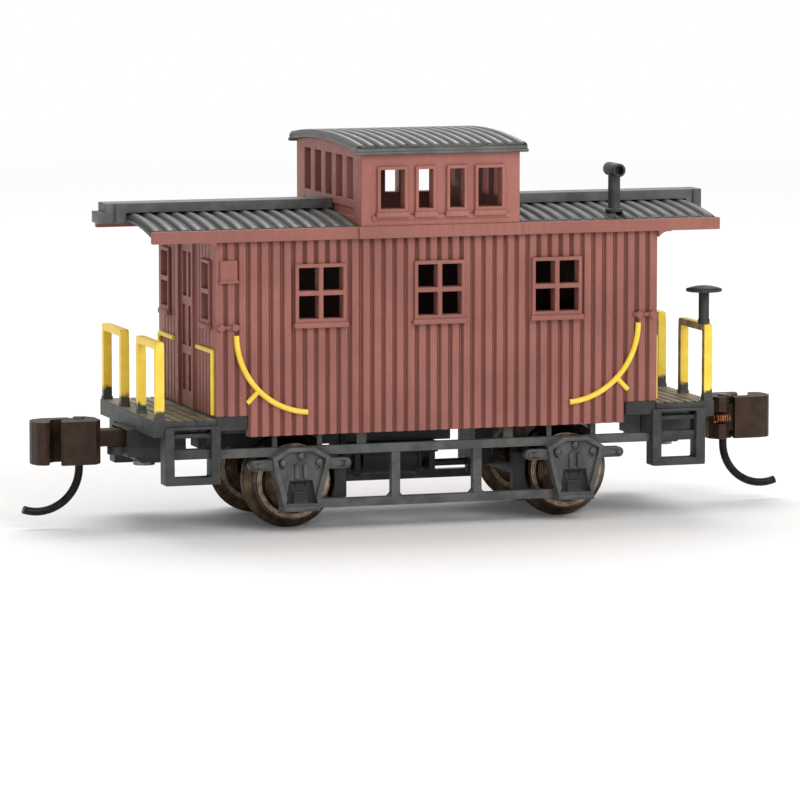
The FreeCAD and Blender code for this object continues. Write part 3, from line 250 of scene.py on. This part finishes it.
def handrail_paint(name="handrail_yellow_paint", bare_below=0.0, bare_side=0.0):
    """Bright yellow over black plastic.

    The paint stops raggedly at the height bare_below, in mm, and is thin on faces towards bare_side in x.
    """
    f = Finish(name, specular=0.5)
    grain = f.noise(0.14, detail=4.0)
    patches = f.noise(0.8, detail=3.0)
    colour = f.mix(f.remap(patches, 0.35, 0.65), (0.97, 0.64, 0.050), (1.0, 0.73, 0.085))
    # Painted shade in corners.
    colour = f.mix(f.math("MULTIPLY", f.cavity_shade(0.15), 0.4), colour, (0.52, 0.27, 0.02))
    worn = f.math("MULTIPLY", f.edges(0.05), f.remap(f.noise(0.5), 0.45, 0.70, 0.0, 0.65))
    colour = f.mix(worn, colour, (0.96, 0.76, 0.26))
    if bare_below:
        ragged = f.math("ADD", f.z, f.math("MULTIPLY", f.math("SUBTRACT", patches, 0.5), 1.3))
        bare = f.remap(ragged, bare_below - 0.16, bare_below + 0.16, 1.0, 0.0)
        colour = f.mix(bare, colour, (0.042, 0.048, 0.030))
    if bare_side:
        turned = f.remap(f.math("MULTIPLY", f.facing_x, bare_side), 0.6, 0.9)
        thin = f.math("MULTIPLY", turned, f.remap(patches, 0.28, 0.72, 0.95, 0.55))
        colour = f.mix(thin, colour, (0.085, 0.066, 0.030))
    roughness = f.remap(grain, 0.3, 0.7, 0.36, 0.50)
    return f.done(colour, roughness, f.bump(grain, 0.014))


def turned_metal(name, centre, tones, ring_pitch=0.13):
    """Turned metal with fine rings round an axle at centre (x, z) in mm, with a painted highlight on a
    ring near the outside, so darker towards the hub.
    """
    f = Finish(name, metallic=1.0)
    across = f.math("SUBTRACT", f.x, centre[0])
    up = f.math("SUBTRACT", f.z, centre[1])
    radius = f.math("SQRT", f.math("ADD", f.math("MULTIPLY", across, across), f.math("MULTIPLY", up, up)))
    rings = f.math("SINE", f.math("MULTIPLY", radius, 2.0 * math.pi / ring_pitch))
    patches = f.noise(0.9, detail=4.0)
    stain = f.noise(0.35, detail=5.0)
    dark, light, highlight = tones
    colour = f.mix(f.remap(patches, 0.34, 0.66), dark, light)
    # Painted highlight on a ring near the wheel's outside.
    rim_highlight = f.math("MULTIPLY", f.remap(radius, RIM_INNER_RADIUS, RIM_INNER_RADIUS + 0.08),
                 f.remap(radius, RIM_OUTER_RADIUS - 0.10, RIM_OUTER_RADIUS, 1.0, 0.0))
    colour = f.mix(f.math("MULTIPLY", rim_highlight, f.remap(patches, 0.3, 0.6, 0.35, 0.9)), colour, highlight)
    colour = f.mix(f.remap(stain, 0.50, 0.72, 0.0, 0.65), colour, tinted(dark, 0.35))
    # Painted shade in corners.
    colour = f.mix(f.math("MULTIPLY", f.cavity_shade(0.6), 0.85), colour, tinted(dark, 0.12))
    roughness = f.math("ADD", f.remap(stain, 0.3, 0.7, 0.26, 0.46), f.math("MULTIPLY", rings, 0.03))
    return f.done(colour, roughness, f.bump(f.math("ADD", rings, stain), 0.006))


def coupler_plastic():
    """Dark brown engineering plastic with a soft sheen, scuffed on its corners."""
    f = Finish("coupler_brown_plastic", specular=0.25)
    grain = f.noise(0.11, detail=4.0)
    patches = f.noise(0.9, detail=3.0)
    colour = f.mix(f.remap(patches, 0.35, 0.65), (0.028, 0.013, 0.007), (0.048, 0.025, 0.014))
    # Painted shade in corners.
    colour = f.mix(f.math("MULTIPLY", f.cavity_shade(0.7), 0.85), colour, (0.012, 0.006, 0.004))
    worn = f.math("MULTIPLY", f.edges(0.10), f.remap(f.noise(0.55), 0.30, 0.62, 0.2, 0.75))
    colour = f.mix(worn, colour, (0.150, 0.090, 0.062))
    roughness = f.remap(patches, 0.3, 0.7, 0.46, 0.60)
    return f.done(colour, roughness, f.bump(grain, 0.026))


def wire_metal(name, dark, light, roughness, wave=0.35):
    """Drawn wire with length-wise variation and dull patches."""
    f = Finish(name, metallic=1.0)
    patches = f.noise(wave, detail=4.0)
    grain = f.noise(0.07, detail=3.0)
    colour = f.mix(f.remap(patches, 0.33, 0.67), dark, light)
    # Painted shade in corners.
    colour = f.mix(f.math("MULTIPLY", f.cavity_shade(0.2), 0.8), colour, tinted(dark, 0.15))
    rough = f.remap(grain, 0.3, 0.7, roughness - 0.06, roughness + 0.10)
    return f.done(colour, rough, f.bump(grain, 0.008))


def blackened_wire():
    """Chemically blackened wire, rubbed bronze where it is handled."""
    f = Finish("blackened_wire", specular=0.16)
    patches = f.noise(0.5, detail=4.0)
    grain = f.noise(0.08, detail=3.0)
    colour = f.mix(f.remap(patches, 0.35, 0.65), (0.007, 0.006, 0.005), (0.017, 0.013, 0.011))
    colour = f.mix(f.remap(grain, 0.55, 0.80, 0.0, 0.4), colour, (0.060, 0.045, 0.034))
    return f.done(colour, f.remap(patches, 0.3, 0.7, 0.16, 0.30), f.bump(grain, 0.010))


def cast_steel():
    """Bare cast steel: mottled grey with a pitted surface and a little rust."""
    f = Finish("bare_steel", metallic=1.0)
    pits = f.noise(0.35, detail=5.0)
    patches = f.noise(2.6, detail=4.0)
    colour = f.mix(f.remap(pits, 0.35, 0.65), (0.21, 0.21, 0.215), (0.34, 0.34, 0.345))
    colour = f.mix(f.remap(patches, 0.56, 0.72, 0.0, 0.6), colour, (0.155, 0.080, 0.045))
    return f.done(colour, f.remap(pits, 0.3, 0.7, 0.40, 0.62), f.bump(pits, 0.04))


def floor_sheet():
    """Plain pale studio sheet with a trace of paper tooth, fading out far from the car."""
    f = Finish("studio_sheet", specular=0.2)
    tooth = f.noise(0.9, detail=3.0)
    colour = f.mix(f.remap(tooth, 0.3, 0.7), (0.90, 0.90, 0.895), (0.92, 0.92, 0.915))
    out = f.math("SQRT", f.math("ADD", f.math("MULTIPLY", f.x, f.x), f.math("MULTIPLY", f.y, f.y)))
    f.set(f.shader.inputs["Alpha"], f.remap(out, *FLOOR_FADE, 1.0, 0.0))
    return f.done(colour, f.remap(tooth, 0.3, 0.7, 0.75, 0.85), f.bump(tooth, 0.01))


# ---------------------------------------------------------------- finishes on the pieces

# Dark, light and painted highlight tones of the turned metals, in that order.
BRONZE = ((0.080, 0.051, 0.033), (0.155, 0.104, 0.070), (0.44, 0.33, 0.24))
STEEL = ((0.15, 0.14, 0.13), (0.27, 0.255, 0.245), (0.36, 0.35, 0.34))

slot_materials = {
    "body_red": body_paint(),
    "roof_black": roof_paint(),
    "frame_black": frame_plastic(),
    "handrail_yellow": handrail_paint(),
    "coupler_brown": coupler_plastic(),
    "spring_copper": wire_metal("copper_wire", (0.27, 0.095, 0.040), (0.50, 0.20, 0.095), 0.28),
    "screw_steel": wire_metal("screw_steel", (0.13, 0.125, 0.12), (0.27, 0.26, 0.255), 0.36),
    "trip_wire": blackened_wire(),
    "ballast_steel": cast_steel(),
}
node_materials = {}
for end, axle_x in AXLE_X.items():
    bronze = turned_metal(f"turned_bronze_{end}", (axle_x, WHEEL_AXIS_Z), BRONZE)
    steel = turned_metal(f"turned_steel_{end}", (axle_x, WHEEL_AXIS_Z), STEEL, ring_pitch=0.08)
    node_materials[f"wheel_{end}_left"] = node_materials[f"wheel_{end}_right"] = bronze
    node_materials[f"axle_{end}"] = steel
    body_side = -1.0 if end == "b" else 1.0
    rail_paint = handrail_paint(f"railing_paint_{end}", POST_PAINT_END_Z, body_side)
    node_materials[f"railing_{end}_left"] = node_materials[f"railing_{end}_right"] = rail_paint

special_finishes = (
    (("side_frame_left", "side_frame_right"),
     frame_plastic("side_frame_plastic", tone=2.1, wear=1.2, hollow_behind=PEDESTAL_PANEL_Y)),
    # Brake gear: a darker copy of the slate plastic as painted shade beneath the car.
    (("brake_rigging", "brake_beam_a", "brake_beam_b"),
     frame_plastic("brake_gear_shaded_plastic", tone=0.35, wear=0.25)),
    (("platform_a", "platform_b"), frame_plastic("deck_plastic", tone=0.9, top=(0.36, 0.30, 0.175))),
    (("cupola_shell", "cupola_frames"), body_paint("lookout_red_paint", tone=1.16)),
    (("running_board_a", "running_board_b"), roof_paint("roof_walk_paint", tone=2.5, highlight_strength=0.9)),
    # Underframe: a darker copy of the slate plastic as painted shade beneath the car.
    (("underframe",), frame_plastic("underframe_shaded_plastic", tone=0.7, wear=0.6)),
    (("brake_wheel", "brake_staff"), frame_plastic("brake_stand_plastic", tone=0.8, wear=0.5)),
    # Lookout roof: a lighter copy of the roof paint with a strong painted highlight on the crests and
    # little painted shade between the ribs.
    (("cupola_roof",), roof_paint("lookout_roof_highlit_paint", tone=2.4, highlight_strength=2.3, valley_shade=0.22)),
)
for names, material in special_finishes:
    node_materials.update(dict.fromkeys(names, material))


def slot_of(node):
    """The record's material slot that a CAD node was packed with."""
    return node.data.materials[0].name.split(".")[0]


for name, node in nodes.items():
    material = node_materials.get(name) or slot_materials[slot_of(node)]
    for material_slot in node.material_slots:
        material_slot.link = "OBJECT"
        material_slot.material = material


# ---------------------------------------------------------------- softened edges

# Radii in mm, with the starts of the names of the pieces that have them.
ROUNDED = ((0.04, ("cupola_frames", "platform", "side_frame")),
           (0.045, ("body_shell", "running_board")),
           (0.05, ("window_frames", "end_window_frames", "corner_plates", "brake_staff", "brake_wheel")),
           (0.06, ("cupola_shell", "cupola_roof", "roof", "smoke_jack", "brake_rigging", "brake_beam",
                   "railing", "coupler_lid")),
           (0.07, ("underframe", "step")))
MERGED_FLATS = {"cupola_shell"}
SEAM_GAP = 0.0002
FLAT_ANGLE = math.radians(0.4)
SHARP_ANGLE = math.radians(32)
FACE_WEIGHT = 60


def edge_radius(name):
    """The radius in mm of a piece's edges, or nothing for a piece that is left sharp."""
    for radius, starts in ROUNDED:
        if name.startswith(starts):
            return radius
    return None


def soften(node, radius, merge_flats):
    """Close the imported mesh's seams and round its edges by a radius in mm."""
    weld = node.modifiers.new("weld", "WELD")
    weld.merge_threshold = SEAM_GAP * MM
    if radius is None:
        return
    if merge_flats:
        flat = node.modifiers.new("flat", "DECIMATE")
        flat.decimate_type = "DISSOLVE"
        flat.angle_limit = FLAT_ANGLE
    bevel = node.modifiers.new("round", "BEVEL")
    bevel.width = radius * MM
    bevel.segments = 2
    bevel.limit_method = "ANGLE"
    bevel.angle_limit = SHARP_ANGLE
    bevel.use_clamp_overlap = merge_flats
    even = node.modifiers.new("even", "WEIGHTED_NORMAL")
    even.weight = FACE_WEIGHT
    even.keep_sharp = False


for name, node in nodes.items():
    soften(node, edge_radius(name), name in MERGED_FLATS)


# ---------------------------------------------------------------- studio

CAR_MIDDLE = (0.0, 0.0, 0.012)
AMBIENT = 0.75
FLOOR_RINGS = (0.05, 0.15, 0.30, 0.50)
FLOOR_SPOKES = 96
CAMERA_YAW = math.radians(18.05)
CAMERA_ELEVATION = math.radians(6.63)
CAMERA_DISTANCE = 0.3766
CAMERA_TARGET = Vector((-0.00049, 0.0, 0.00798))
CAMERA_LENS = 243.0


def studio_floor():
    """A round pale sheet that fades into the white surround."""
    mesh = bmesh.new()
    turns = [2 * math.pi * k / FLOOR_SPOKES for k in range(FLOOR_SPOKES)]
    centre = mesh.verts.new((0.0, 0.0, 0.0))
    previous = None
    for radius in FLOOR_RINGS:
        ring = [mesh.verts.new((radius * math.cos(turn), radius * math.sin(turn), 0.0)) for turn in turns]
        for k in range(FLOOR_SPOKES):
            following = (k + 1) % FLOOR_SPOKES
            if previous is None:
                mesh.faces.new((centre, ring[k], ring[following]))
            else:
                mesh.faces.new((previous[k], ring[k], ring[following], previous[following]))
        previous = ring
    data = bpy.data.meshes.new("studio_floor")
    mesh.to_mesh(data)
    mesh.free()
    floor = bpy.data.objects.new("studio_floor", data)
    bpy.context.scene.collection.objects.link(floor)
    data.materials.append(floor_sheet())


def area_light(name, place, target, size, power, colour=(1.0, 1.0, 1.0)):
    """A square soft light at a place in metres, turned to a target."""
    data = bpy.data.lights.new(name, "AREA")
    data.size = size
    data.energy = power
    data.color = colour
    light = bpy.data.objects.new(name, data)
    light.location = place
    light.rotation_euler = (Vector(target) - Vector(place)).to_track_quat("-Z", "Y").to_euler()
    bpy.context.scene.collection.objects.link(light)


def studio_light():
    """An even pale surround, a broad key from the front right and above, and a light from the top."""
    world = bpy.data.worlds.new("studio")
    world.use_nodes = True
    tree = world.node_tree
    background = tree.nodes["Background"]
    background.inputs["Color"].default_value = (1.0, 1.0, 1.0, 1.0)
    strength = tree.nodes.new("ShaderNodeMapRange")
    strength.inputs["To Min"].default_value = AMBIENT
    strength.inputs["To Max"].default_value = 1.0
    path = tree.nodes.new("ShaderNodeLightPath")
    tree.links.new(path.outputs["Is Camera Ray"], strength.inputs["Value"])
    tree.links.new(strength.outputs["Result"], background.inputs["Strength"])
    bpy.context.scene.world = world
    area_light("key", (0.10, -0.26, 0.20), CAR_MIDDLE, 0.16, 0.36, (1.0, 0.985, 0.965))
    area_light("top", (0.02, 0.16, 0.30), CAR_MIDDLE, 0.22, 0.50)


def studio_camera():
    """A long lens from the front left, a little above the car's middle."""
    level = math.cos(CAMERA_ELEVATION)
    back = Vector((-math.sin(CAMERA_YAW) * level, -math.cos(CAMERA_YAW) * level,
                   math.sin(CAMERA_ELEVATION)))
    data = bpy.data.cameras.new("camera")
    data.lens = CAMERA_LENS
    data.sensor_width = 36.0
    data.clip_start = 0.01
    data.clip_end = 50.0
    camera = bpy.data.objects.new("camera", data)
    camera.location = CAMERA_TARGET + back * CAMERA_DISTANCE
    camera.rotation_euler = (-back).to_track_quat("-Z", "Y").to_euler()
    bpy.context.scene.collection.objects.link(camera)
    bpy.context.scene.camera = camera


studio_floor()
studio_light()
studio_camera()
bpy.context.scene.view_settings.view_transform = "Standard"
